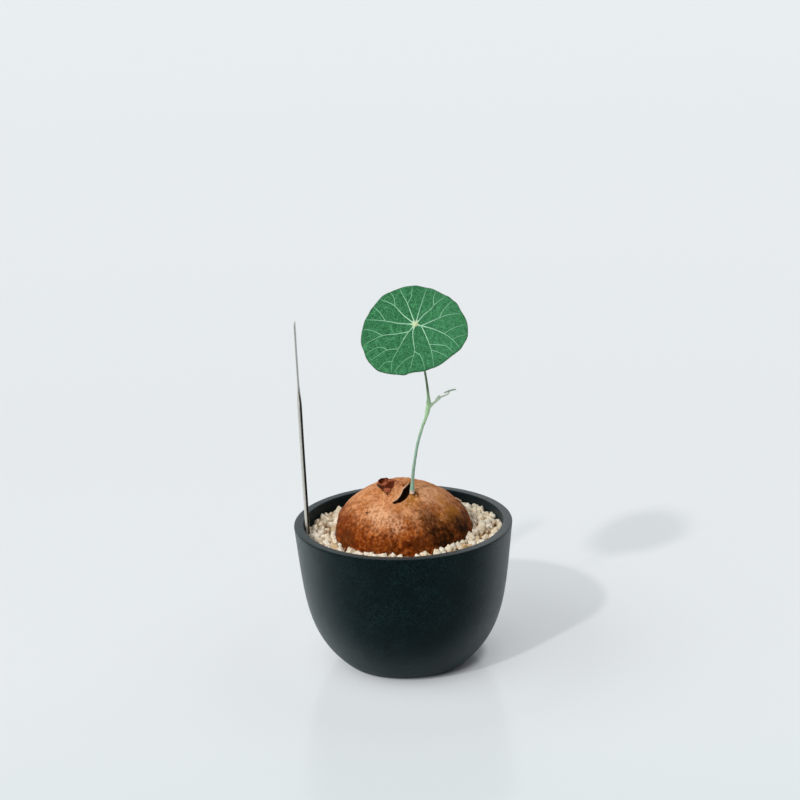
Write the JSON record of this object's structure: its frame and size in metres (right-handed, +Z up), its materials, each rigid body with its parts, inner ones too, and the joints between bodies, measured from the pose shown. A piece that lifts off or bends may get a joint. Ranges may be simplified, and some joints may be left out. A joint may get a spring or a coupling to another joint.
{
  "type": "potted stephania erecta",
  "caption": "Young caudex climber: a corky tuber half sunk in pale grit in a bowl-shaped pot, a slender stem with a round shield leaf, and a thin metal plant marker.",
  "frame": {"origin": "middle of the pot's foot ring, on the surface that it stands on", "axes": "+Z up along the pot's middle line, +X to the right and -Y to the front of the pictured view, so the leaf looks up and to -Y"},
  "size_m": [0.0998, 0.0998, 0.1765],
  "materials": {
    "glaze": "satin",
    "net": "matte",
    "earth": "matte",
    "grit": "matte",
    "cork": "matte",
    "stem_bark": "satin",
    "stalk": "satin",
    "blade": "satin",
    "shoot": "satin",
    "young_blade": "satin",
    "marker_metal": "gloss"
  },
  "bodies": {
    "root": {"pot": "glaze", "drain_mesh": "net", "soil": "earth", "gravel": "grit", "tuber": "cork", "stem": "stem_bark", "petiole": "stalk", "leaf": "blade", "side_shoot": "shoot", "young_leaf": "young_blade", "plant_marker": "marker_metal"}
  },
  "joints": []
}
